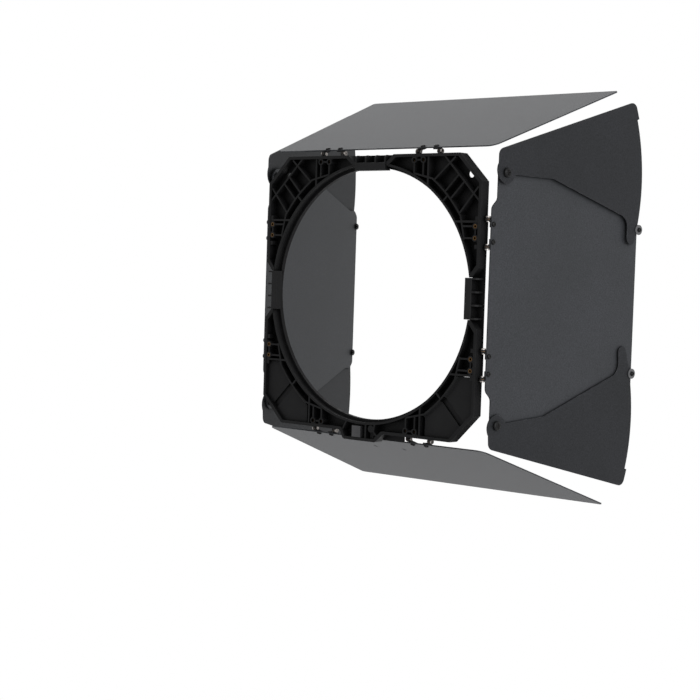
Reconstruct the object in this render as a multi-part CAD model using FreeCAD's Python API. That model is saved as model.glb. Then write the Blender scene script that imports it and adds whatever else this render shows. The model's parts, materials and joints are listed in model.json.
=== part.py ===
"""Four-leaf barn door for a Fresnel stage light.

Axes: the light leaves along -Y, +Z is up, -X is the near side. The origin is the centre of the
aperture on the front face of the frame, so the frame fills Y from 0 to FRAME_DEPTH. Millimetres.
"""
import FreeCAD, Part
import math
import os

V = FreeCAD.Vector
ORIGIN = V(0, 0, 0)
X_AXIS = V(1, 0, 0)
Y_AXIS = V(0, 1, 0)
Z_AXIS = V(0, 0, 1)

# Frame: an octagonal moulding, a square with cut corners
HALF = 165.0  # half the square's side
CHAMFER = 32.4  # what each corner loses along a side
FRAME_DEPTH = 14.0
WALL = 3.5
FLOOR = 2.5  # front plate
RIB = 2.0
RIB_BACK = 13.4  # ribs stop a little short of the frame's back edge
APERTURE_R = 150.0
APERTURE_DEEP = 5.0
LIP_R = (153.4, 156.0)  # upright lip round the aperture
RING_R = 165.0  # middle of the ring wall where it is round ...
RING_T = 2.0
RING_BEND = (93.1, 136.2)  # ... to here, as (sideways, outward), and straight from here ...
RING_END = (66.5, 142.3)  # ... to here, where it meets the lip
PANEL_BACK = 10.0  # back face of the closed lower corners
PANEL_T = 4.6
PANEL_START_X = 92.8
PANEL_START_Z = 89.2
FLANK_R = 168.4  # foot of the ring wall's sloping flank on a closed corner
GROOVE_ENDS = (115.0, 150.0)  # both ways from the centre
GROOVE_W = 7.8
GROOVE_SHIFT = 2.5  # sideways from the corner's diagonal
GROOVE_DEEP = 2.2

# Corner ribs, as (sideways, outward) ends in the corner between two sides
LONG_RIB_SUM = 272.5  # the rib beside the cut corner runs where sideways + outward is this
SHORT_RIBS = [((126.5, 160.5), (96.5, 134.5)), ((132.0, 140.2), (113.0, 121.2))]
TETHER_HOLE_R = 4.5
TETHER_AT = 141.6  # both ways from the centre

# Mid-side notch and the lug that fills it
NOTCH_FLOOR = 156.0
NOTCH_HALF = 24.2
NOTCH_MOUTH = 35.0
LUG_HALF = 23.6
LUG_IN = 146.5
LUG_BACK = 15.0
FIN_T = 2.0
FIN_OUT = 164.6
FIN_CHAMFER = 2.8
FIN_SHORT = 0.6  # the fins' back edges lie this far inside the lug's
FIN_AT = (-22.6, -7.5, 7.5, 22.6)
LUG_SCREW_AT = (-15.0, 15.0)
LUG_SCREW_OUT = 152.6
LUG_CLEAR_R = 150.3  # the lug leaves the aperture's bore free up to LUG_STEP
LUG_STEP = 5.4

# Bulge on the bottom side and the catch in it, as seen in the frame's own X and Z
BULGE = [(35.0, -HALF, 3.0), (29.5, -175.6, 4.0), (-20.7, -175.6, 5.0), (-33.0, -HALF, 6.0)]
BULGE_Y = 1.6  # stands back from the front face, so that the open leaf clears it
CATCH_X = (2.0, 15.2)
CATCH_Z = (-171.7, -158.0)
CATCH_SCREW_X = (5.2, 12.0)
CATCH_SCREW_Z = -161.6
BULGE_TOP = -154.5  # where the bulge's ribs end
BULGE_RIBS = [  # (from, to, thickness)
    ((-5.2, -174.6), (-5.2, BULGE_TOP), 2.2),
    ((-16.5, -162.5), (-23.6, -169.0), RIB),
    ((-17.6, -162.5), (-19.0, BULGE_TOP), RIB),
    ((33.0, -167.0), (25.5, -154.0), RIB),
]
BULGE_PAD = (-17.5, -9.8, 9.5)  # raised floor, from, to and how far back
BULGE_BOSS = (-13.4, -160.2, 4.2)  # x, z and radius
BULGE_TUBE = (-17.8, -170.1, 3.6)
BULGE_HOLE_R = 2.1
SKIRT_X = (-57.0, -24.0)  # low flange beside the bulge
SKIRT_Z = -172.0

# Hinges: two on each side, each with two ears and two short pins
HINGE_AT = (-74.5, 74.5)
HINGE_OUT = 3.9  # axis beyond the frame's side
HINGE_Y = {"side": 5.1, "cross": -4.3}  # the side leaves turn further back
EAR_R = 3.4
EAR_T = 1.8
EAR_AT = 15.9  # inner face of a frame ear, from the hinge's middle
EAR_GAP = 0.5  # friction washer's room between a frame ear and a leaf ear
WASHER_T = 0.4
WASHER_R = 3.3
PIN_R = 1.5
RUN_CLEAR = 0.05
PIN_HEAD_R = 3.1
PIN_HEAD_T = 1.5
PIN_TAIL_R = 2.1
PIN_TAIL_T = 1.0
BRACKET_T = 1.8
BRACKET_HALF = EAR_AT + EAR_T
BRACKET_IN = 150.6  # the plate's inner edge, from the frame's centre
EAR_ROOT_OUT = 162.0  # where an ear's arm leaves the plate
EAR_ROOT_Y = 1.7  # and how far in front of the frame
INSERT_AT = 6.7  # from the middle of the two inserts
INSERT_MID = {"side": 75.0, "cross": 73.0}
INSERT_SINK = {"side": 0.2, "cross": 3.2}  # below the boss's end
TALL_RIB_AT = 87.0  # beside each hinge, from the outer wall to the lip
TALL_RIB_T = 2.3
FOOT_BLOCK = (5.0, 4.6)  # blocks in line with the ears of the side hinges
INSERT_OUT = 157.8
INSERT_R = 2.3
INSERT_HOLE_R = 1.5
INSERT_LEN = 8.0
BOSS_R = 3.9
SCREW_R = 1.45
SCREW_HEAD_R = 2.8
SCREW_HEAD_T = 1.7

# Leaves: folded from sheet, outer face OFFSET + SHEET from the hinge axis
SHEET = 1.5
OFFSET = 3.9
FLARE = {"top": 20.7, "far": 15.0, "bottom": 19.3, "near": 7.9}
TURN = {"top": 0, "far": 90, "bottom": 180, "near": 270}
LEAF_START = {"side": 0.5, "cross": -1.0}  # inner edge, along the leaf from the hinge axis
CROSS_LENGTH = 229.2
CROSS_HALF_IN = 168.5
CROSS_HALF_OUT = 194.0
CROSS_SLOT_AT = 22.7
CROSS_SLOT_S = 39.8
CROSS_SLOT = (7.0, 2.6)
FOOT_T = 1.5  # leaf bracket
FOOT_IN = 6.6
FOOT_S = 9.0
LEAF_SCREW_AT = 10.0
LEAF_SCREW_S = {"side": 3.9, "cross": 1.9}
LEAF_HEAD_R = 2.9
LEAF_HEAD_T = 2.0

# Side leaves and their two flaps
SIDE_LENGTH = 254.6
SIDE_HALF = [  # half the outline from the hinge edge outwards, as (sideways, along, radius)
    (104.0, LEAF_START["side"], 8),
    (112.6, 9.2, 8),
    (153.0, 9.2, 13),
    (150.0, 112.0, 70),
    (107.5, SIDE_LENGTH - 18, 30),
    (110.5, SIDE_LENGTH - 8, 7),
    (102.0, SIDE_LENGTH, 7),
]
PIVOT_S = 17.8
PIVOT_AT = 143.2
PIVOT_R = 2.5
PIVOT_HEAD_R = 5.4
PIVOT_HEAD_T = 3.0
PIVOT_WASHER_R = 6.5
FLAP_GAP = {"down": 0.6, "up": 2.6}  # washer under each flap: the upper one folds over the lower
FLAP_R = 238.0  # guide arc about the pivot
FLAP_LOBE_R = 12.3  # round the pivot
FLAP_HOOK_R = 241.4  # the hook at the guide arc's end, which meets the stop
FLAP_HOOK = (19.0, 24.2)  # from and to, in degrees
FLAP_BACK = (25.6, -12.2)  # corner behind the pivot, as (outward, along the leaf)
FLAP_LOW = (10.5, -12.2)
FLAP_UNDER = (-1.5, 15.0)
FLAP_KNEE = (-2.4, 78.4)
FLAP_BEND = (-42.2, 213.8)  # where the inner edge turns into the finger
FLAP_FINGER = (-73.3, 213.8)  # the finger's end
FLAP_ROUND = {"knee": 6.0, "bend": 16.0, "finger": 7.0, "tip": 6.0, "hook": 9.0, "back": 9.0}
STOP_S = 252.5
STOP_AT = 88.0
STOP_BUSH_R = 2.4
STOP_WASHER_R = 6.2
STOP_WASHER_T = 0.8
STOP_HEAD_R = 2.9
STOP_HEAD_T = 2.4
STOP_SCREW_R = 1.9
NUT_T = 2.4
FLAP_IN = {"up": 0.0, "down": 4.0}  # how far each flap is folded in from fully fanned


def save(name, solids):
    solids = solids if isinstance(solids, list) else [solids]
    for i, s in enumerate(solids):
        if s.ShapeType == "Compound" and len(s.Solids) == 1:
            solids[i] = s.Solids[0]
    for s in solids:
        if s.ShapeType != "Solid" or not s.isValid() or s.Volume <= 0:
            raise ValueError(f"{name}: {s.ShapeType}, valid {s.isValid()}, {s.Volume:.1f} mm3")
    shape = solids[0] if len(solids) == 1 else Part.makeCompound(solids)
    shape.exportStep(f"parts/{name}.step")


def one(shape):
    """The single solid of a boolean's result."""
    shape = shape.removeSplitter()
    if len(shape.Solids) != 1:
        raise ValueError(f"expected one solid, got {len(shape.Solids)}")
    return shape.Solids[0]


def outline(corners):
    """A closed wire in the XY plane through (x, y, radius) corners, rounded where radius > 0."""
    edges, last, first = [], None, None
    count = len(corners)
    for i, (x, y, r) in enumerate(corners):
        here = V(x, y, 0)
        before = V(*corners[i - 1][:2], 0)
        after = V(*corners[(i + 1) % count][:2], 0)
        if r <= 0:
            start = end = here
            arc = None
        else:
            a = (before - here).normalize()
            b = (after - here).normalize()
            half = a.getAngle(b) / 2
            start = here + a * (r / math.tan(half))
            end = here + b * (r / math.tan(half))
            middle = (a + b).normalize()
            top = here + middle * (r / math.sin(half) - r)
            arc = Part.Arc(start, top, end).toShape()
        if last is not None and last.distanceToPoint(start) > 1e-6:
            edges.append(Part.LineSegment(last, start).toShape())
        if arc is not None:
            edges.append(arc)
        first = start if first is None else first
        last = end
    if last.distanceToPoint(first) > 1e-6:
        edges.append(Part.LineSegment(last, first).toShape())
    return Part.Wire(edges)


def plate(wire, low, high):
    """A plate over a wire in the XY plane, from low to high along Z."""
    face = Part.Face(wire)
    face.translate(V(0, 0, low))
    return face.extrude(V(0, 0, high - low))


def stand_up(shape):
    """Turn a shape drawn in X, Y with height Z so that X stays, Y becomes Z and height becomes +Y."""
    shape = shape.copy()
    shape.rotate(ORIGIN, X_AXIS, 90)
    return shape.mirror(ORIGIN, Y_AXIS)


def slab(wire, low, high):
    """A plate over a wire drawn as (sideways, outward), filling Y from low to high."""
    return stand_up(plate(wire, low, high))


def box(x0, x1, y0, y1, z0, z1):
    return Part.makeBox(x1 - x0, y1 - y0, z1 - z0, V(x0, y0, z0))


def rod(radius, start, end):
    way = end - start
    return Part.makeCylinder(radius, way.Length, start, way)


def beam(a, b, thick, low, high):
    """A rib between two (sideways, outward) points, filling Y from low to high."""
    way = V(b[0] - a[0], 0, b[1] - a[1])
    across = V(-way.z, 0, way.x).normalize() * (thick / 2)
    start = V(a[0], low, a[1])
    ring = [start - across, start - across + way, start + across + way, start + across]
    wire = Part.makePolygon(ring + ring[:1])
    return Part.Face(wire).extrude(V(0, high - low, 0))


def on_side(shape, side):
    """Move a shape made at the top of the frame to another side."""
    shape = shape.copy()
    shape.rotate(ORIGIN, Y_AXIS, TURN[side])
    return shape


def kind(side):
    """The two upright sides are built alike, and so are the top and the bottom."""
    return "side" if side in ("near", "far") else "cross"


def hinge_y(side):
    return HINGE_Y[kind(side)]


def on_leaf(shape, side):
    """Place a shape drawn as (along the hinge, along the leaf, outward) on a side's leaf at rest."""
    shape = shape.mirror(ORIGIN, Y_AXIS)
    shape.rotate(ORIGIN, X_AXIS, -FLARE[side])
    shape.translate(V(0, hinge_y(side), HALF + HINGE_OUT))
    return on_side(shape, side)


def octagon(inset, shaped=False):
    """The frame's outline, moved in by inset. Shaped, it has three notches and the bottom bulge."""
    h = HALF - inset
    c = h - CHAMFER + inset * (math.sqrt(2) - 1)
    f, lean = NOTCH_FLOOR - inset, inset * 0.9
    notch = [(-NOTCH_MOUTH - lean, h), (-NOTCH_HALF - lean, f)]
    notch += [(NOTCH_HALF + lean, f), (NOTCH_MOUTH + lean, h)]
    corners = []
    for side, turn in TURN.items():
        middle = []
        if shaped and side == "bottom":
            middle = bulge_corners(inset)
        elif shaped:
            middle = [turned(x, z, 0, turn) for x, z in notch]
        corners += [turned(-c, h, 0, turn)] + middle + [turned(c, h, 0, turn)]
    return outline(corners)


def turned(x, z, r, turn):
    """A corner drawn at the top, moved round the frame by turn degrees."""
    a = math.radians(-turn)
    return (x * math.cos(a) - z * math.sin(a), x * math.sin(a) + z * math.cos(a), r)


def bulge_corners(inset):
    """The bulge's corners in order from the far side, moved in by inset."""
    (x0, _, r0), (x1, low, r1), (x2, _, r2), (x3, _, r3) = BULGE
    side = -HALF + inset
    near, far = inset * 0.6, inset * 0.8
    corners = [(x0 - near, side, r0), (x1 - near, low + inset, max(r1 - inset, 1))]
    return corners + [(x2 + far, low + inset, max(r2 - inset, 1)), (x3 + far, side, r3)]


def corner_box(side_x, low, high):
    """The block of a lower corner beyond the last ribs of its two sides, filling Y from low to high."""
    x0, x1 = sorted((side_x * PANEL_START_X, side_x * HALF))
    return box(x0, x1, low, high, -HALF, -PANEL_START_Z)


def tube(inner, outer, low, high):
    """A ring about the light's axis, filling Y from low to high."""
    body = rod(outer, V(0, low, 0), V(0, high, 0))
    return body.cut(rod(inner, V(0, low - 1, 0), V(0, high + 1, 0)))


def ring_wall():
    """Ring wall of one corner, drawn for sideways and outward both positive."""
    far = 2.0
    bend, end = RING_BEND, RING_END
    wedge = [(0, 0, 0), (bend[0] * far, bend[1] * far, 0), (bend[1] * far, bend[0] * far, 0)]
    wedge = slab(outline(wedge), 0, FRAME_DEPTH)
    arc = tube(RING_R - RING_T / 2, RING_R + RING_T / 2, 1, RIB_BACK).common(wedge)
    step = 0.03  # each straight piece runs this share of its length past the bend
    past = (bend[0] + step * (bend[0] - end[0]), bend[1] + step * (bend[1] - end[1]))
    pieces = [arc]
    for a, b in ((end, past), (end[::-1], past[::-1])):
        pieces.append(beam(a, b, RING_T, 1, RIB_BACK))
    return pieces


def corner_ribs():
    """Ribs of one open corner, drawn for sideways and outward both positive."""
    edge = HALF - WALL / 2
    ribs = [beam((LONG_RIB_SUM - edge, edge), (edge, LONG_RIB_SUM - edge), RIB, 1, RIB_BACK)]
    for a, b in SHORT_RIBS:
        ribs.append(beam(a, b, RIB, 1, RIB_BACK))
        ribs.append(beam(a[::-1], b[::-1], RIB, 1, RIB_BACK))
    return ribs


def cross_rib():
    """The rib between lip and ring wall at the middle of a corner."""
    inner, outer = (LIP_R[1] - 1) * math.sqrt(0.5), RING_R * math.sqrt(0.5)
    return beam((inner, inner), (outer, outer), RIB, 1, RIB_BACK)


def insert_places(side):
    """Where the inserts of a side's two hinges are, sideways."""
    middle = INSERT_MID[kind(side)]
    return [way * (middle + step) for way in (-1, 1) for step in (-INSERT_AT, INSERT_AT)]


def ring_wall_at(x):
    """How far out the straight part of the ring wall is at x."""
    (x0, z0), (x1, z1) = RING_END, RING_BEND
    return z0 + (abs(x) - x0) * (z1 - z0) / (x1 - x0)


def side_ribs(side):
    """Bosses and ribs behind one side's hinge brackets, drawn at the top."""
    found = []
    inserts_at = insert_places(side)
    edge = HALF - WALL / 2
    for x in inserts_at:
        found.append(rod(BOSS_R, V(x, 1, INSERT_OUT), V(x, FRAME_DEPTH - 0.2, INSERT_OUT)))
        found.append(beam((x, ring_wall_at(x)), (x, INSERT_OUT), RIB, 1, RIB_BACK))
    for a, b in (inserts_at[:2], inserts_at[2:]):
        found.append(beam((a, INSERT_OUT), (b, INSERT_OUT), RIB, 1, RIB_BACK))
        for x, way in ((a, -1), (b, 1)):
            found.append(beam((x, INSERT_OUT), (x + way * 4.5, INSERT_OUT + 4.2), RIB, 1, RIB_BACK))
    for way in (-1, 1):
        x = way * TALL_RIB_AT
        inner = math.sqrt((LIP_R[1] - 1) ** 2 - x * x)
        found.append(beam((x, inner), (x, edge), TALL_RIB_T, 1, RIB_BACK))
    if kind(side) == "side":
        wide, high = FOOT_BLOCK
        for at in HINGE_AT:
            for x in (at - EAR_AT, at + EAR_AT):
                top = HALF - WALL + 1
                found.append(box(x - high / 2, x + high / 2, 1, RIB_BACK, top - wide, top))
    return found


def frame():
    shell = slab(octagon(0, True), 0, FRAME_DEPTH).fuse(slab(octagon(0), 0, FLOOR))
    shell = shell.cut(slab(octagon(WALL, True), FLOOR, FRAME_DEPTH + 1))
    adds = [tube(LIP_R[0], LIP_R[1], 1, RIB_BACK), tube(APERTURE_R, LIP_R[1], 1, APERTURE_DEEP)]
    for side in TURN:
        adds += [on_side(s, side) for s in side_ribs(side)]
    for side_x in (-1, 1):
        for rib in corner_ribs() + ring_wall() + [cross_rib()]:
            adds.append(rib if side_x > 0 else rib.mirror(ORIGIN, X_AXIS))
        for rib in ring_wall() + [cross_rib()]:
            low = rib.mirror(ORIGIN, Z_AXIS)
            adds.append(low if side_x > 0 else low.mirror(ORIGIN, X_AXIS))
    adds += bulge_ribs()
    body = shell.multiFuse(adds)
    body = body.common(slab(octagon(0, True), 0, FRAME_DEPTH).fuse(slab(octagon(0), 0, FLOOR)))
    for side_x in (-1, 1):
        body = closed_corner(body, side_x)
        x = side_x * TETHER_AT
        body = body.cut(rod(TETHER_HOLE_R, V(x, -1, TETHER_AT), V(x, FLOOR + 1, TETHER_AT)))
    body = body.cut(rod(APERTURE_R, V(0, -1, 0), V(0, FRAME_DEPTH + 1, 0)))
    body = bulge(body)
    for side in TURN:
        for cut in side_holes(side):
            body = body.cut(on_side(cut, side))
    return one(body)


def bulge(body):
    """Set the bulge's front back from the frame's and give it its own floor and the skirt beside it."""
    body = body.cut(box(-HALF, HALF, -1, BULGE_Y, BULGE[1][1] - 1, -HALF))
    floor = slab(outline(bulge_corners(1.0)), BULGE_Y, BULGE_Y + FLOOR)
    skirt = box(*SKIRT_X, BULGE_Y, BULGE_Y + FLOOR, SKIRT_Z, -HALF + 1)
    body = body.fuse([floor, skirt])
    x, z, _ = BULGE_TUBE
    return body.cut(rod(BULGE_HOLE_R, V(x, 0, z), V(x, FRAME_DEPTH + 1, z)))


def bulge_ribs():
    """Ribs, boss, tube and raised pad inside the bulge, in the frame's own X and Z."""
    ribs = [beam(a, b, thick, FLOOR, RIB_BACK) for a, b, thick in BULGE_RIBS]
    left, right, back = BULGE_PAD
    ribs.append(box(left, right, FLOOR, back, BULGE_RIBS[0][0][1], BULGE_TOP))
    for (x, z, r), high in ((BULGE_BOSS, RIB_BACK), (BULGE_TUBE, RIB_BACK - 2.4)):
        ribs.append(rod(r, V(x, FLOOR, z), V(x, high, z)))
    return ribs


def closed_corner(body, side_x):
    """A lower corner: its floor lies further back and carries one diagonal groove."""
    well = corner_box(side_x, -1, PANEL_BACK - PANEL_T)
    well = well.common(slab(octagon(WALL), -1, PANEL_BACK))
    well = well.cut(rod(RING_R + RING_T / 2, V(0, -2, 0), V(0, FRAME_DEPTH, 0)))
    floor = corner_box(side_x, PANEL_BACK - PANEL_T, PANEL_BACK)
    floor = floor.common(slab(octagon(1), 0, FRAME_DEPTH))
    floor = floor.cut(rod(RING_R, V(0, 0, 0), V(0, FRAME_DEPTH, 0)))
    rise = RIB_BACK - PANEL_BACK
    flank = Part.makeCone(FLANK_R, RING_R + RING_T / 2, rise, V(0, PANEL_BACK, 0), Y_AXIS)
    flank = flank.cut(rod(RING_R, V(0, 0, 0), V(0, FRAME_DEPTH + 1, 0)))
    flank = flank.common(corner_box(side_x, 0, FRAME_DEPTH))
    ends = [(side_x * (at + GROOVE_SHIFT), -at) for at in GROOVE_ENDS]
    groove = beam(*ends, GROOVE_W, PANEL_BACK - GROOVE_DEEP, FRAME_DEPTH + 1)
    groove = groove.cut(rod(RING_R + RING_T / 2, V(0, 0, 0), V(0, FRAME_DEPTH + 1, 0)))
    groove = groove.common(slab(octagon(WALL), 0, FRAME_DEPTH + 1))
    return body.cut(well).fuse([floor, flank]).cut(groove)


def side_holes(side):
    """What is cut from one side: insert holes, lug screw holes and room for the lug."""
    cuts = []
    sink = INSERT_SINK[kind(side)]
    for x in insert_places(side):
        mouth = FRAME_DEPTH - sink - INSERT_LEN
        cuts.append(rod(INSERT_R, V(x, mouth, INSERT_OUT), V(x, FRAME_DEPTH + 1, INSERT_OUT)))
        cuts.append(rod(SCREW_R + 0.15, V(x, -1, INSERT_OUT), V(x, mouth + 1, INSERT_OUT)))
    if side == "bottom":
        for x in CATCH_SCREW_X:
            low = V(-x, -1, -CATCH_SCREW_Z)
            cuts.append(rod(SCREW_R + 0.15, low, low + V(0, FLOOR + 3, 0)))
        return cuts
    for x in LUG_SCREW_AT:
        cuts.append(rod(SCREW_R + 0.15, V(x, -1, LUG_SCREW_OUT), V(x, FLOOR + 9, LUG_SCREW_OUT)))
    half = LUG_HALF + 0.4
    cuts.append(box(-half, half, FLOOR, FRAME_DEPTH + 1, LUG_IN - 4, HALF + 1))
    return cuts


def lug():
    """Ribbed locating lug, drawn at the top: a block with four fins on its outer side."""
    block = box(-LUG_HALF, LUG_HALF, FLOOR, LUG_BACK, LUG_IN, NOTCH_FLOOR)
    block = block.makeFillet(1.2, [e for e in block.Edges if fillet_edge(e)])
    fins = []
    root, back = NOTCH_FLOOR - 2, LUG_BACK - FIN_SHORT
    for x in FIN_AT:
        corners = [(root, FLOOR), (FIN_OUT, FLOOR), (FIN_OUT, back - FIN_CHAMFER)]
        corners += [(FIN_OUT - FIN_CHAMFER, back), (root, back)]
        points = [V(x - FIN_T / 2, y, z) for z, y in corners]
        fins.append(Part.Face(Part.makePolygon(points + points[:1])).extrude(V(FIN_T, 0, 0)))
    body = block.multiFuse(fins)
    body = body.cut(rod(LUG_CLEAR_R, V(0, -1, 0), V(0, LUG_STEP, 0)))
    for x in LUG_SCREW_AT:
        body = body.cut(rod(SCREW_R, V(x, FLOOR - 1, LUG_SCREW_OUT), V(x, FLOOR + 8, LUG_SCREW_OUT)))
    return one(body)


def fillet_edge(edge):
    """The lug block's two back edges that run along the side."""
    a, b = (v.Point for v in edge.Vertexes)
    return min(a.y, b.y) > LUG_BACK - 0.1 and abs(a.x - b.x) > 1


def lug_screws(side):
    """Two pan-head screws from the front through the front plate into a lug or the catch."""
    out = []
    places = [(x, LUG_SCREW_OUT) for x in LUG_SCREW_AT]
    if side == "bottom":
        places = [(-x, -CATCH_SCREW_Z) for x in CATCH_SCREW_X]
    for x, z in places:
        shank = rod(SCREW_R, V(x, -0.1, z), V(x, FLOOR + 7, z))
        out.append(on_side(one(shank.fuse(pan_head(x, z, 0))), side))
    return out


def pan_head(x, z, face_y):
    """A pan head with a cross recess on a face that looks along -Y."""
    low = V(x, face_y, z)
    head = Part.makeCylinder(SCREW_HEAD_R, SCREW_HEAD_T, low, V(0, -1, 0))
    rim = [e for e in head.Edges if e.BoundBox.YMax < face_y - 1 and e.Curve.TypeId == "Part::GeomCircle"]
    head = head.makeFillet(0.7, rim)
    deep = face_y - SCREW_HEAD_T
    cross = box(x - 1.5, x + 1.5, deep - 1, deep + 1, z - 0.35, z + 0.35)
    cross = cross.fuse(box(x - 0.35, x + 0.35, deep - 1, deep + 1, z - 1.5, z + 1.5))
    return head.cut(cross)


def frame_bracket(at, y):
    """Frame half of a hinge, drawn at the top: a plate with an ear at each end."""
    axis_z = HALF + HINGE_OUT
    body = box(at - BRACKET_HALF, at + BRACKET_HALF, -BRACKET_T, 0, BRACKET_IN, HALF - 0.4)
    for way in (-1, 1):
        x0, x1 = sorted((at + way * EAR_AT, at + way * (EAR_AT + EAR_T)))
        arm = V(0, y + EAR_ROOT_Y, HALF + HINGE_OUT - EAR_ROOT_OUT)
        across = V(0, arm.z, -arm.y).normalize() * (EAR_R - 0.5)
        root = V(x0, -EAR_ROOT_Y, EAR_ROOT_OUT)
        ring = [root - across, root - across + arm, root + across + arm, root + across]
        ear = Part.Face(Part.makePolygon(ring + ring[:1])).extrude(V(x1 - x0, 0, 0))
        ear = ear.fuse(rod(EAR_R, V(x0, y, axis_z), V(x1, y, axis_z)))
        ear = ear.cut(box(x0 - 1, x1 + 1, -0.05, 40, 0, HALF + 0.4))
        body = body.fuse(ear)
        body = body.cut(rod(PIN_R, V(x0 - 1, y, axis_z), V(x1 + 1, y, axis_z)))
    return body


def frame_brackets(side):
    out = []
    for at in HINGE_AT:
        body = frame_bracket(at, hinge_y(side))
        for x in insert_places(side):
            body = body.cut(rod(SCREW_R + 0.1, V(x, -5, INSERT_OUT), V(x, 1, INSERT_OUT)))
        out.append(on_side(one(body), side))
    return out


def bracket_screws(side):
    out = []
    for x in insert_places(side):
        shank = rod(SCREW_R, V(x, -BRACKET_T - 0.1, INSERT_OUT), V(x, FRAME_DEPTH - 4, INSERT_OUT))
        screw = one(shank.fuse(pan_head(x, INSERT_OUT, -BRACKET_T)))
        out.append(on_side(screw, side))
    return out


def inserts(side):
    """Brass inserts, one behind each bracket screw."""
    sink = INSERT_SINK[kind(side)]
    out = []
    for x in insert_places(side):
        high = V(x, FRAME_DEPTH - sink, INSERT_OUT)
        low = high - Y_AXIS * INSERT_LEN
        body = rod(INSERT_R, low, high).cut(rod(INSERT_HOLE_R, low - Y_AXIS, high + Y_AXIS))
        out.append(on_side(one(body), side))
    return out


def ear_ends(at, way):
    """Where things lie along one ear's pin: frame ear's outer and inner face, leaf ear's two faces."""
    outer = at + way * (EAR_AT + EAR_T)
    inner = at + way * EAR_AT
    leaf_out = at + way * (EAR_AT - EAR_GAP)
    leaf_in = at + way * (EAR_AT - EAR_GAP - EAR_T)
    return outer, inner, leaf_out, leaf_in


def hinge_pins(side):
    """Short headed pins, fast in the frame ears and free in the leaf ears."""
    y, z = hinge_y(side), HALF + HINGE_OUT
    out = []
    for at in HINGE_AT:
        for way in (-1, 1):
            outer, _, _, leaf_in = ear_ends(at, way)
            tail = leaf_in - way * 0.1
            body = rod(PIN_R, V(tail - way * 0.2, y, z), V(outer + way * 0.2, y, z))
            head = rod(PIN_HEAD_R, V(outer, y, z), V(outer + way * PIN_HEAD_T, y, z))
            far_rim = [e for e in head.Edges if abs(e.BoundBox.Center.x - outer) > PIN_HEAD_T / 2]
            far_rim = [e for e in far_rim if e.Curve.TypeId == "Part::GeomCircle"]
            head = head.makeFillet(0.5, far_rim)
            dimple_end = V(outer + way * (PIN_HEAD_T + 1), y, z)
            head = head.cut(rod(1.3, V(outer + way * (PIN_HEAD_T - 0.6), y, z), dimple_end))
            foot = rod(PIN_TAIL_R, V(tail, y, z), V(tail - way * PIN_TAIL_T, y, z))
            out.append(on_side(one(body.fuse(head).fuse(foot)), side))
    return out


def friction_washers(side):
    """One brass washer between each pair of ears, resting on the frame ear."""
    y, z = hinge_y(side), HALF + HINGE_OUT
    out = []
    for at in HINGE_AT:
        for way in (-1, 1):
            inner = ear_ends(at, way)[1]
            ends = V(inner, y, z), V(inner - way * WASHER_T, y, z)
            body = rod(WASHER_R, *ends)
            body = body.cut(rod(PIN_R + 0.02, ends[0] + X_AXIS * way, ends[1] - X_AXIS * way))
            out.append(on_side(one(body), side))
    return out


def leaf_bracket(at, way, side):
    """Leaf half of a hinge on one ear: a foot under the sheet and an ear down to the axis."""
    x0, x1 = sorted(ear_ends(at, way)[2:])
    ear = rod(EAR_R, V(x0, 0, 0), V(x1, 0, 0))
    ear = ear.fuse(box(x0, x1, -2.2, 4.5, 0, OFFSET))
    f0, f1 = sorted((at + way * FOOT_IN, at + way * (EAR_AT - EAR_GAP)))
    foot = box(f0, f1, LEAF_START[kind(side)], FOOT_S, OFFSET - FOOT_T, OFFSET)
    body = ear.fuse(foot)
    body = body.cut(rod(PIN_R + RUN_CLEAR, V(x0 - 1, 0, 0), V(x1 + 1, 0, 0)))
    x, s = at + way * LEAF_SCREW_AT, LEAF_SCREW_S[kind(side)]
    body = body.cut(rod(SCREW_R, V(x, s, OFFSET - FOOT_T - 0.1), V(x, s, OFFSET + 1)))
    return one(body)


def leaf_brackets(side):
    return [on_leaf(leaf_bracket(at, way, side), side) for at in HINGE_AT for way in (-1, 1)]


def screw_places(side):
    """Where a leaf's hinge screws are, as (sideways, along the leaf)."""
    s = LEAF_SCREW_S[kind(side)]
    return [(at + way * LEAF_SCREW_AT, s) for at in HINGE_AT for way in (-1, 1)]


def domed_screw(x, s, face, head_r, head_t, shank_r, deep, slot=0.7):
    """A pan-head screw square to the leaf: its head stands on face, its shank ends at deep."""
    head = Part.makeCylinder(head_r, head_t, V(x, s, face))
    rim = [e for e in head.Edges if e.BoundBox.ZMin > face + head_t / 2]
    rim = [e for e in rim if e.Curve.TypeId == "Part::GeomCircle"]
    head = head.makeFillet(min(0.6 * head_t, 0.45 * head_r), rim)
    arm, top = 0.55 * head_r, face + head_t
    cross = box(x - arm, x + arm, s - slot / 2, s + slot / 2, top - 0.45 * head_t, top + 1)
    cross = cross.fuse(box(x - slot / 2, x + slot / 2, s - arm, s + arm, top - 0.45 * head_t, top + 1))
    shank = rod(shank_r, V(x, s, deep), V(x, s, face + 0.1))
    return one(head.cut(cross).fuse(shank))


def leaf_screws(side):
    face = OFFSET + SHEET
    out = []
    for x, s in screw_places(side):
        screw = domed_screw(x, s, face, LEAF_HEAD_R, LEAF_HEAD_T, SCREW_R, OFFSET - FOOT_T - 0.6)
        out.append(on_leaf(screw, side))
    return out


def screw_holes(body, places, radius):
    for x, s in places:
        body = body.cut(rod(radius, V(x, s, OFFSET - 1), V(x, s, OFFSET + SHEET + 1)))
    return body


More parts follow.
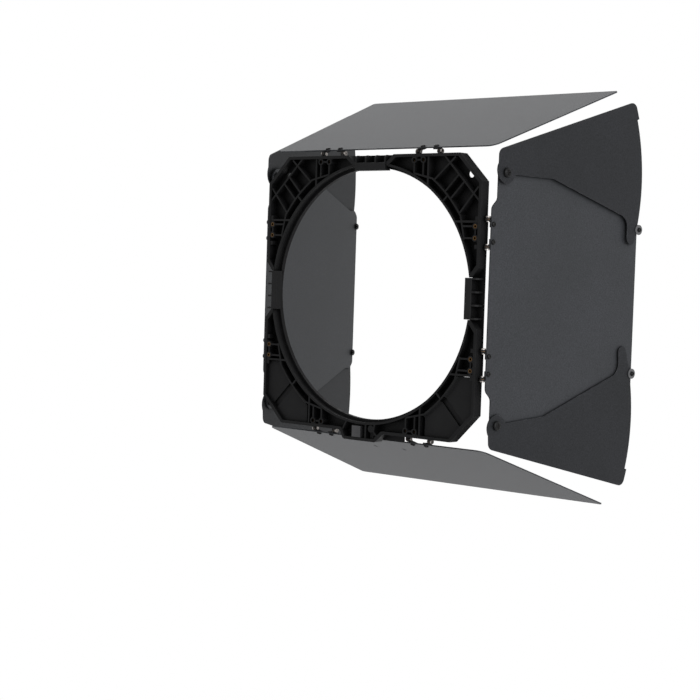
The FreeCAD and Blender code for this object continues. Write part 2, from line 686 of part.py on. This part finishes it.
def cross_leaf(side):
    """Top or bottom leaf: a plain flared sheet."""
    start = LEAF_START["cross"]
    corners = [(-CROSS_HALF_IN, start, 12), (CROSS_HALF_IN, start, 12)]
    corners += [(CROSS_HALF_OUT, CROSS_LENGTH, 4), (-CROSS_HALF_OUT, CROSS_LENGTH, 4)]
    body = plate(outline(corners), OFFSET, OFFSET + SHEET)
    body = screw_holes(body, screw_places(side), SCREW_R + 0.1)
    if side == "bottom":
        long, wide = CROSS_SLOT
        for x in (-CROSS_SLOT_AT, CROSS_SLOT_AT):
            cut = box(x - wide / 2, x + wide / 2, CROSS_SLOT_S - long / 2, CROSS_SLOT_S + long / 2, 0, 20)
            body = body.cut(cut)
    return on_leaf(one(body), side)


def side_leaf(side):
    """Near or far leaf: narrower at its outer edge, with a lobe round each stop screw."""
    left = [(-x, s, r) for x, s, r in reversed(SIDE_HALF)]
    body = plate(outline(SIDE_HALF + left), OFFSET, OFFSET + SHEET)
    body = screw_holes(body, screw_places(side), SCREW_R + 0.1)
    body = screw_holes(body, [(x, PIVOT_S) for x in (-PIVOT_AT, PIVOT_AT)], PIVOT_R + 0.1)
    body = screw_holes(body, [(x, STOP_S) for x in (-STOP_AT, STOP_AT)], STOP_SCREW_R + 0.1)
    return on_leaf(one(body), side)


def at_angle(radius, degrees):
    """A flap point, as (outward, along the leaf), at an angle from along the leaf outwards."""
    turn = math.radians(degrees)
    return V(radius * math.sin(turn), radius * math.cos(turn), 0)


def flap_corners():
    """A flap's sharp corners about its pivot, as (outward, along the leaf)."""
    out = FLAP_FINGER[0]
    return {
        "knee": V(*FLAP_KNEE, 0),
        "bend": V(*FLAP_BEND, 0),
        "finger": V(*FLAP_FINGER, 0),
        "tip": V(out, math.sqrt(FLAP_R**2 - out**2), 0),
        "hook": at_angle(FLAP_HOOK_R, FLAP_HOOK[1]),
        "back": V(*FLAP_BACK, 0),
    }


def flap_wire():
    """A flap's outline about its pivot, before its corners are rounded."""
    knee, bend, finger, tip, hook, back = flap_corners().values()
    under, low = V(*FLAP_UNDER, 0), V(*FLAP_LOW, 0)
    end = at_angle(FLAP_R, FLAP_HOOK[0])
    hook_in = at_angle(FLAP_HOOK_R, FLAP_HOOK[0])
    lobe_low = V(-FLAP_LOBE_R * 0.72, -FLAP_LOBE_R * 0.72, 0)
    lobe_end = V(-FLAP_LOBE_R, 3, 0)
    lobe = Part.BezierCurve()
    lobe.setPoles([lobe_end, V(-11, 9, 0), V(-5, 13, 0), under])
    straight = [(under, knee), (knee, bend), (bend, finger), (finger, tip)]
    edges = [Part.LineSegment(a, b).toShape() for a, b in straight]
    edges += [
        Part.Arc(tip, at_angle(FLAP_R, 1), end).toShape(),
        Part.LineSegment(end, hook_in).toShape(),
        Part.Arc(hook_in, at_angle(FLAP_HOOK_R, sum(FLAP_HOOK) / 2), hook).toShape(),
        Part.LineSegment(hook, back).toShape(),
        Part.LineSegment(back, low).toShape(),
        Part.Arc(low, lobe_low, lobe_end).toShape(),
        lobe.toShape(),
    ]
    return Part.Wire(edges)


def flap(side, up):
    """A flap on a side leaf's outer face. up is 1 for the flap at +u and -1 for the other."""
    which = flap_name(side, up)
    low = OFFSET + SHEET + FLAP_GAP[which]
    body = plate(flap_wire(), low, low + SHEET)
    for name, corner in flap_corners().items():
        body = body.makeFillet(FLAP_ROUND[name], [e for e in body.Edges if stands_at(e, corner)])
    body = body.cut(rod(PIVOT_R + RUN_CLEAR, V(0, 0, low - 1), V(0, 0, low + SHEET + 1)))
    body = one(body)
    body.rotate(ORIGIN, Z_AXIS, FLAP_IN[which])
    if up < 0:
        body = body.mirror(ORIGIN, X_AXIS)
    body.translate(V(up * PIVOT_AT, PIVOT_S, 0))
    return on_leaf(body, side)


def stands_at(edge, corner):
    """True for the edge that runs through the sheet at a corner."""
    at = edge.BoundBox.Center
    return edge.BoundBox.ZLength > SHEET / 2 and math.hypot(at.x - corner.x, at.y - corner.y) < 0.5


def flap_name(side, up):
    """Which flap of a side leaf is the upper one: +u is up on the near side and down on the far."""
    return "up" if (up > 0) == (side == "near") else "down"


def pivot_screws(side):
    out = []
    for x in (-PIVOT_AT, PIVOT_AT):
        face = OFFSET + 2 * SHEET + FLAP_GAP[flap_name(side, x)] + 0.1
        size = PIVOT_HEAD_R, PIVOT_HEAD_T, PIVOT_R, OFFSET - NUT_T - 1.2
        out.append(on_leaf(domed_screw(x, PIVOT_S, face, *size, slot=1.2), side))
    return out


def ring_washer(x, s, low, thick, outer, inner):
    body = rod(outer, V(x, s, low), V(x, s, low + thick))
    return one(body.cut(rod(inner, V(x, s, low - 1), V(x, s, low + thick + 1))))


def pivot_washers(side):
    low = OFFSET + SHEET
    out = []
    for x in (-PIVOT_AT, PIVOT_AT):
        thick = FLAP_GAP[flap_name(side, x)] - 0.1
        washer = ring_washer(x, PIVOT_S, low, thick, PIVOT_WASHER_R, PIVOT_R + 0.02)
        out.append(on_leaf(washer, side))
    return out


def stop_screws(side):
    out = []
    for x in (-STOP_AT, STOP_AT):
        face = OFFSET + 2 * SHEET + FLAP_GAP[flap_name(side, x)] + 0.2 + STOP_WASHER_T
        size = STOP_HEAD_R, STOP_HEAD_T, STOP_SCREW_R, OFFSET - NUT_T - 1.0
        out.append(on_leaf(domed_screw(x, STOP_S, face, *size, slot=0.9), side))
    return out


def stop_washers(side):
    """A spacer bush and a wide washer on each stop screw, so the flap's edge slides under it."""
    low = OFFSET + SHEET
    out = []
    for x in (-STOP_AT, STOP_AT):
        rise = SHEET + FLAP_GAP[flap_name(side, x)] + 0.2
        bush = ring_washer(x, STOP_S, low, rise, STOP_BUSH_R, STOP_SCREW_R)
        wide = ring_washer(x, STOP_S, low + rise, STOP_WASHER_T, STOP_WASHER_R, STOP_SCREW_R)
        out.append(on_leaf(one(bush.fuse(wide)), side))
    return out


def hex_nut(x, s, across, hole):
    """A thin nut on the leaf's inner face."""
    points = []
    for k in range(7):
        turn = math.radians(60 * k)
        radius = across / math.sqrt(3)
        points.append(V(x + radius * math.cos(turn), s + radius * math.sin(turn), OFFSET - NUT_T))
    body = Part.Face(Part.makePolygon(points)).extrude(V(0, 0, NUT_T))
    return one(body.cut(rod(hole, V(x, s, OFFSET - NUT_T - 1), V(x, s, OFFSET + 1))))


def leaf_nuts(side):
    """The nuts of one side leaf: two on the pivot screws and two on the stop screws."""
    out = []
    for x in (-PIVOT_AT, PIVOT_AT):
        out.append(on_leaf(hex_nut(x, PIVOT_S, 8.0, PIVOT_R), side))
    for x in (-STOP_AT, STOP_AT):
        out.append(on_leaf(hex_nut(x, STOP_S, 7.0, STOP_SCREW_R), side))
    return out


def catch_block():
    """Plain block in the bulge that the lamp's lock closes on. Drawn at its place."""
    body = box(*CATCH_X, BULGE_Y + FLOOR + 0.1, LUG_BACK, *CATCH_Z)
    edges = [e for e in body.Edges if e.BoundBox.YMin > LUG_BACK - 0.1]
    body = body.makeFillet(0.8, edges)
    for x in CATCH_SCREW_X:
        low = V(x, 0, CATCH_SCREW_Z)
        body = body.cut(rod(SCREW_R, low, low + V(0, FLOOR + 8, 0)))
    return one(body)


def main():
    os.makedirs("parts", exist_ok=True)
    save("frame", frame())
    for side in ("top", "near", "far"):
        save(f"lug_{side}", on_side(lug(), side))
    save("catch_block", catch_block())
    save("lug_screws", [s for side in TURN for s in lug_screws(side)])
    save("bracket_screws", [s for side in TURN for s in bracket_screws(side)])
    save("threaded_inserts", [s for side in TURN for s in inserts(side)])
    for side in TURN:
        save(f"frame_brackets_{side}", frame_brackets(side))
        save(f"hinge_pins_{side}", hinge_pins(side))
        save(f"friction_washers_{side}", friction_washers(side))
        save(f"leaf_brackets_{side}", leaf_brackets(side))
        save(f"leaf_screws_{side}", leaf_screws(side))
    for side in ("top", "bottom"):
        save(f"leaf_{side}", cross_leaf(side))
    for side in ("near", "far"):
        save(f"leaf_{side}", side_leaf(side))
        for up in (-1, 1):
            save(f"flap_{side}_{flap_name(side, up)}", flap(side, up))
        save(f"pivot_screws_{side}", pivot_screws(side))
        save(f"pivot_washers_{side}", pivot_washers(side))
        save(f"stop_screws_{side}", stop_screws(side))
        save(f"stop_washers_{side}", stop_washers(side))
        save(f"leaf_nuts_{side}", leaf_nuts(side))


main()
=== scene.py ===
"""Looks of the four-leaf barn door: materials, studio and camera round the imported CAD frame."""
import json
import math

import bpy
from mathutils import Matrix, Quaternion, Vector


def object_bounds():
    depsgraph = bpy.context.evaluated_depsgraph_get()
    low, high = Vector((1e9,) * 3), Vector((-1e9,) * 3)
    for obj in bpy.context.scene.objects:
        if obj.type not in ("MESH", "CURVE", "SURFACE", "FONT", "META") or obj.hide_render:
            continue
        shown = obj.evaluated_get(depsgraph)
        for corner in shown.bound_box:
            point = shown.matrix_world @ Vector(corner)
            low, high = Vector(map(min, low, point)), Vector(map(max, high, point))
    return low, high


# Camera, in the row frame: place in metres, angles in degrees, lens in millimetres
CAMERA_AT = Vector((-1.2736, 1.5029, 0.0312))
CAMERA_AZIMUTH = 221.04
CAMERA_ELEVATION = 2.88
CAMERA_ROLL = 1.87
CAMERA_LENS = 84.63
CAMERA_REACH = (0.05, 100)

# Studio, in metres and watts
SKY_STRENGTH = 1.0
FLOOR_DROP = 0.45  # floor below the object's lowest point
FLOOR_RADIUS = 14.0
FLOOR_SIDES = 96
FLOOR_FADE = (0.3, 0.8)  # distances between which the floor turns into the sky
PANELS = [  # name, place from the object's centre, size, power
    ("near_side", (-2.0, 0.7, 0.5), 1.6, 36),
    ("far_top", (1.5, -1.7, 1.6), 1.4, 4),
]

# Colours
WHITE = (1, 1, 1, 1)
BARE_EDGE = (0.2, 0.2, 0.21, 1)  # aluminium through worn powder coat
RUBBED_STEEL = (0.16, 0.15, 0.145, 1)
BLUE_SHEEN = (0.87, 0.93, 1.0, 1)
STEEL = ((0.2, 0.18, 0.17, 1), (0.4, 0.38, 0.36, 1))
BRASS = ((0.06, 0.032, 0.012, 1), (0.13, 0.075, 0.03, 1))
GREY_NYLON = ((0.07, 0.07, 0.073, 1), (0.045, 0.045, 0.048, 1))

# Masks
MIDDLE = (0.3, 0.7)  # the part of a noise's range that is used where nothing else is said
EDGE_BEND = (0.02, 0.25)  # how far a rounded normal leans from the real one: no edge, full edge
SHADE_AO_SPAN = (0.45, 0.95)  # ambient occlusion span for the painted shade: fully shaded, unshaded


# ---------------------------------------------------------------- node helpers
class Graph:
    """A material's nodes, each made and joined in one call."""

    def __init__(self, name):
        self.material = bpy.data.materials.new(name)
        self.material.use_nodes = True
        self.tree = self.material.node_tree
        self.tree.nodes.clear()
        self.output = self.tree.nodes.new("ShaderNodeOutputMaterial")

    def node(self, kind, sockets=None, **settings):
        made = self.tree.nodes.new("ShaderNode" + kind)
        for key, value in settings.items():
            setattr(made, key, value)
        for key, value in (sockets or {}).items():
            self.feed(made.inputs[key], value)
        return made

    def feed(self, socket, value):
        if isinstance(value, bpy.types.NodeSocket):
            self.tree.links.new(value, socket)
        else:
            socket.default_value = value

    def place(self):
        return self.node("TexCoord").outputs["Object"]

    def noise(self, scale, detail, rough=0.5, stretch=None):
        at = self.place()
        if stretch:
            at = self.node("Mapping", {"Vector": at, "Scale": stretch}).outputs[0]
        sockets = {"Vector": at, "Scale": scale, "Detail": detail, "Roughness": rough}
        return self.node("TexNoise", sockets).outputs["Fac"]

    def cells(self, scale):
        sockets = {"Vector": self.place(), "Scale": scale}
        return self.node("TexVoronoi", sockets).outputs["Distance"]

    def spread(self, value, span=MIDDLE, result=(0.0, 1.0)):
        """value, mapped from the span to the result and held there."""
        sockets = {0: value, 1: span[0], 2: span[1], 3: result[0], 4: result[1]}
        return self.node("MapRange", sockets).outputs[0]

    def math(self, operation, a, b):
        return self.node("Math", {0: a, 1: b}, operation=operation).outputs[0]

    def mix(self, factor, a, b):
        made = self.node("Mix", data_type="RGBA")
        self.feed(made.inputs[0], factor)
        self.feed(made.inputs[6], a)
        self.feed(made.inputs[7], b)
        return made.outputs[2]

    def bump(self, height, distance, strength, normal=None):
        sockets = {"Height": height, "Distance": distance, "Strength": strength}
        if normal is not None:
            sockets["Normal"] = normal
        return self.node("Bump", sockets).outputs[0]

    def edges(self, radius):
        """1 along convex and concave edges, 0 on flats."""
        soft = self.node("Bevel", {"Radius": radius}, samples=4).outputs[0]
        hard = self.node("NewGeometry").outputs["Normal"]
        near = self.node("VectorMath", {0: soft, 1: hard}, operation="DOT_PRODUCT").outputs["Value"]
        none, full = EDGE_BEND
        return self.spread(near, (1 - full, 1 - none), (1.0, 0.0))

    def worn(self, radius, patches, span, amount):
        """Share of the coat that is rubbed off: patches of the edges, up to amount."""
        rubbed = self.math("MULTIPLY", self.edges(radius), self.spread(patches, span))
        return self.math("MULTIPLY", rubbed, amount)

    def painted_corner_shade(self, distance, darkest):
        """Painted shade: 1 on open faces, falling to darkest in corners and slots."""
        made = self.node("AmbientOcclusion", {"Distance": distance}, samples=8)
        return self.spread(made.outputs["AO"], SHADE_AO_SPAN, (darkest, 1.0))

    def surface(self, **sockets):
        shader = self.node("BsdfPrincipled", {k.replace("_", " "): v for k, v in sockets.items()})
        self.tree.links.new(shader.outputs[0], self.output.inputs["Surface"])
        return self.material


def grey(level, blue=1.0):
    return (level, level, level * blue, 1.0)


BLACK = grey(0.0)


# ---------------------------------------------------------------- materials
def powder_coat(name, level, shine):
    """Fine-textured black powder coat on aluminium sheet, thin along the sheet's edges, with painted shade
    in corners and slots.
    """
    g = Graph(name)
    grain = g.noise(1500, 3, 0.6)
    specks = g.cells(900)
    cloud = g.spread(g.noise(14, 3))
    base = g.mix(cloud, grey(level * 0.8, 1.15), grey(level * 1.2, 1.2))
    base = g.mix(g.spread(grain, (0.45, 0.8), (0.0, 0.5)), base, grey(level * 4, 1.12))
    mottle = g.spread(g.noise(700, 4, 0.75), (0.35, 0.65), (0.0, 0.95))
    base = g.mix(mottle, base, BLACK)
    base = g.mix(g.worn(0.0009, g.noise(160, 4), (0.5, 0.62), 0.3), base, BARE_EDGE)
    # Painted shade: corners, slots and contact lines darkened towards black; the same mask also roughens
    # them.
    corner_shade = g.painted_corner_shade(0.007, 0.0)
    base = g.mix(corner_shade, BLACK, base)
    rough = g.math("ADD", g.spread(grain, MIDDLE, (0.44, 0.56)), g.spread(corner_shade, (0.0, 1.0), (0.3, 0.0)))
    normal = g.bump(grain, 0.00012, 0.5, g.bump(specks, 0.0001, 0.35))
    return g.surface(
        Base_Color=base,
        Roughness=rough,
        Normal=normal,
        Specular_IOR_Level=shine,
        Specular_Tint=BLUE_SHEEN,
    )


def moulding(name, level, rough):
    """Moulded nylon: spark-eroded skin, faint flow clouds, rubbed edges and painted shade in corners."""
    g = Graph(name)
    cloud = g.spread(g.noise(30, 4))
    base = g.mix(cloud, grey(level * 0.85, 1.05), grey(level * 1.15, 1.05))
    base = g.mix(g.worn(0.0008, g.noise(120, 4), (0.42, 0.6), 0.5), base, grey(level * 4.5, 1.03))
    # Painted shade: corners and rib pockets darkened towards black.
    base = g.mix(g.painted_corner_shade(0.012, 0.35), BLACK, base)
    normal = g.bump(g.noise(2200, 2, 0.6), 0.00008, 0.5)
    rough = g.spread(g.noise(90, 5), MIDDLE, rough)
    return g.surface(Base_Color=base, Roughness=rough, Normal=normal, Specular_IOR_Level=0.075)


def dark_metal(name, level, rough):
    """Black-oxide or black-zinc steel, brighter along rubbed edges."""
    g = Graph(name)
    cloud = g.spread(g.noise(260, 4))
    base = g.mix(cloud, grey(level * 0.8, 1.06), grey(level * 1.3, 1.04))
    base = g.mix(g.worn(0.0005, g.noise(420, 3), (0.4, 0.6), 0.4), base, RUBBED_STEEL)
    normal = g.bump(g.noise(1800, 2), 0.00004, 0.4)
    rough = g.spread(g.noise(600, 3), MIDDLE, rough)
    return g.surface(Base_Color=base, Metallic=0.5, Roughness=rough, Normal=normal, Specular_IOR_Level=0.22)


def bright_metal(name, colours, rough):
    """Bare or plated metal with fine scratches and a little dulling."""
    g = Graph(name)
    base = g.mix(g.spread(g.noise(300, 5)), *colours)
    rough = g.spread(g.noise(700, 3), MIDDLE, rough)
    scratch = g.noise(1200, 3, 0.6, stretch=(1, 1, 0.08))
    return g.surface(Base_Color=base, Metallic=1.0, Roughness=rough, Normal=g.bump(scratch, 0.00005, 0.3))


def plain_nylon(name, colours, rough):
    """Grey nylon with faint handling marks."""
    g = Graph(name)
    base = g.mix(g.spread(g.noise(500, 4), (0.4, 0.65)), *colours)
    rough = g.spread(g.noise(900, 3), MIDDLE, rough)
    return g.surface(Base_Color=base, Roughness=rough, Normal=g.bump(g.noise(1500, 2), 0.00004, 0.4))


def dress(frame):
    """Give every CAD node the material of its slot in the record; the flaps get a darker, less shiny copy
    of the coat.
    """
    made = {
        "leaf_coat": powder_coat("leaf_coat", 0.0135, 0.42),
        "frame_moulding": moulding("frame_moulding", 0.0065, (0.42, 0.54)),
        "lug_moulding": moulding("lug_moulding", 0.008, (0.38, 0.48)),
        "catch_moulding": moulding("catch_moulding", 0.045, (0.34, 0.44)),
        "bracket_steel": dark_metal("bracket_steel", 0.012, (0.36, 0.48)),
        "black_screw": dark_metal("black_screw", 0.007, (0.26, 0.38)),
        "black_washer": dark_metal("black_washer", 0.01, (0.35, 0.5)),
        "bright_steel": bright_metal("bright_steel", STEEL, (0.25, 0.4)),
        "pale_washer": plain_nylon("pale_washer", GREY_NYLON, (0.35, 0.5)),
        "brass": bright_metal("brass", BRASS, (0.35, 0.5)),
    }
    flap_coat = powder_coat("flap_coat", 0.0095, 0.235)
    for part in frame["record"]["subparts"]:
        thing = frame["nodes"][part["node"]]
        is_flap = part["node"].startswith("flap")
        thing.data.materials.clear()
        thing.data.materials.append(flap_coat if is_flap else made[part["material_slot"]])


# ---------------------------------------------------------------- studio and camera
def floor_paint():
    """Matt white paint near the object, turning into the sky's white further out."""
    g = Graph("floor_paint")
    tone = g.spread(g.noise(40, 3), MIDDLE, (0.88, 0.9))
    paint = g.node("BsdfDiffuse", {"Color": g.node("CombineColor", {0: tone, 1: tone, 2: tone}).outputs[0]})
    glow = g.node("Emission", {"Color": WHITE, "Strength": SKY_STRENGTH})
    far = g.node("VectorMath", {0: g.place()}, operation="LENGTH").outputs["Value"]
    blend = g.node("MixShader", {0: g.spread(far, FLOOR_FADE)})
    g.tree.links.new(paint.outputs[0], blend.inputs[1])
    g.tree.links.new(glow.outputs[0], blend.inputs[2])
    g.tree.links.new(blend.outputs[0], g.output.inputs["Surface"])
    return g.material


def panel(name, place, aim, size, power):
    light = bpy.data.lights.new(name, "AREA")
    light.shape = "SQUARE"
    light.size = size
    light.energy = power
    lamp = bpy.data.objects.new(name, light)
    lamp.location = place
    lamp.rotation_euler = (aim - place).to_track_quat("-Z", "Y").to_euler()
    bpy.context.scene.collection.objects.link(lamp)


def studio(low, high):
    """White room: an even white sky, a pale floor that fades into it and soft panels."""
    centre = (low + high) / 2
    world = bpy.data.worlds.new("studio")
    bpy.context.scene.world = world
    world.use_nodes = True
    sky = world.node_tree.nodes["Background"]
    sky.inputs["Color"].default_value = WHITE
    sky.inputs["Strength"].default_value = SKY_STRENGTH

    disc = bpy.data.meshes.new("floor")
    turn = 2 * math.pi / FLOOR_SIDES
    ring = []
    for k in range(FLOOR_SIDES):
        ring.append((FLOOR_RADIUS * math.cos(turn * k), FLOOR_RADIUS * math.sin(turn * k), 0))
    disc.from_pydata(ring, [], [list(range(FLOOR_SIDES))])
    floor = bpy.data.objects.new("floor", disc)
    floor.location = (centre.x, centre.y, low.z - FLOOR_DROP)
    bpy.context.scene.collection.objects.link(floor)
    disc.materials.append(floor_paint())

    for name, place, size, power in PANELS:
        panel(name, centre + Vector(place), centre, size, power)


def camera():
    """Camera at the photographed angle, rolled about its own axis."""
    data = bpy.data.cameras.new("camera")
    data.lens = CAMERA_LENS
    data.clip_start, data.clip_end = CAMERA_REACH
    made = bpy.data.objects.new("camera", data)
    bpy.context.scene.collection.objects.link(made)
    a, e = math.radians(CAMERA_AZIMUTH), math.radians(CAMERA_ELEVATION)
    back = Vector((math.sin(a) * math.cos(e), -math.cos(a) * math.cos(e), math.sin(e)))
    roll = Quaternion((0, 0, 1), math.radians(CAMERA_ROLL))
    made.rotation_mode = "QUATERNION"
    made.rotation_quaternion = (-back).to_track_quat("-Z", "Y") @ roll
    made.location = CAMERA_AT
    bpy.context.scene.camera = made


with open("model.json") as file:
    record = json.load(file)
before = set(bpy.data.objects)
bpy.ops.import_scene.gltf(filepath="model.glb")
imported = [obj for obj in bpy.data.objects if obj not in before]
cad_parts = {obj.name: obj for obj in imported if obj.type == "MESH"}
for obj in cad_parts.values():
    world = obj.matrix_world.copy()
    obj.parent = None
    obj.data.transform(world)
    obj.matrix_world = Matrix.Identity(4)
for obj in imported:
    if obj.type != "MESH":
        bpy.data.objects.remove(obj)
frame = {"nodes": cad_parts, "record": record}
cad_low, cad_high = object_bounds()
dress(frame)
studio(cad_low, cad_high)
camera()
bpy.context.scene.view_settings.view_transform = "Standard"
